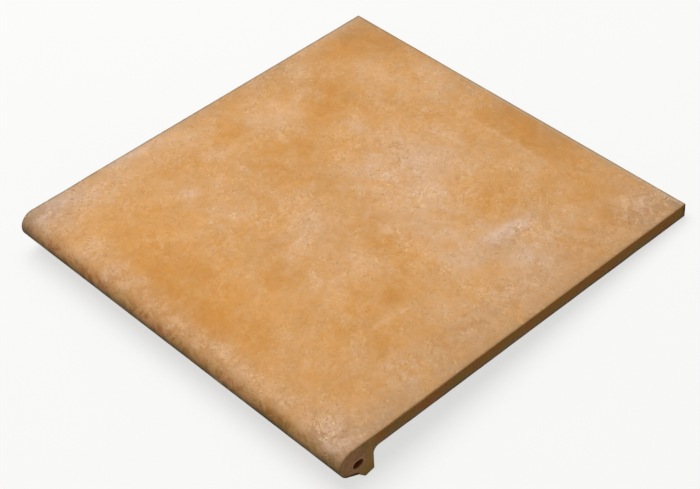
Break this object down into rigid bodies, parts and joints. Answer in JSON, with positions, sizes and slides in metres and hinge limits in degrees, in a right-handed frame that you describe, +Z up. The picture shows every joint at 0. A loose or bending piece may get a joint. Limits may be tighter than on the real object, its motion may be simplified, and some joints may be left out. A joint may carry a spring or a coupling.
{
  "type": "stair tread tile",
  "caption": "Fired clay stair tread tile with a round nosing, a drip lip that covers the top of the riser, and an oval core hole; laid in mortar as a step.",
  "frame": {"origin": "middle of the base of the tile's box, on the floor it lies on", "axes": "+X along the nosing, -Y towards the front of the nosing, +Z up from the floor; the tile lies on the toe of its lip and its lower back arris, so its walking face slopes 3.6 degrees down to the back"},
  "size_m": [0.33, 0.333, 0.0318],
  "materials": {
    "fired_clay": "matt, unglazed, ochre-buff clay with pale dusty blotches"
  },
  "bodies": {
    "root": {"tread_tile": "fired_clay"}
  },
  "joints": []
}
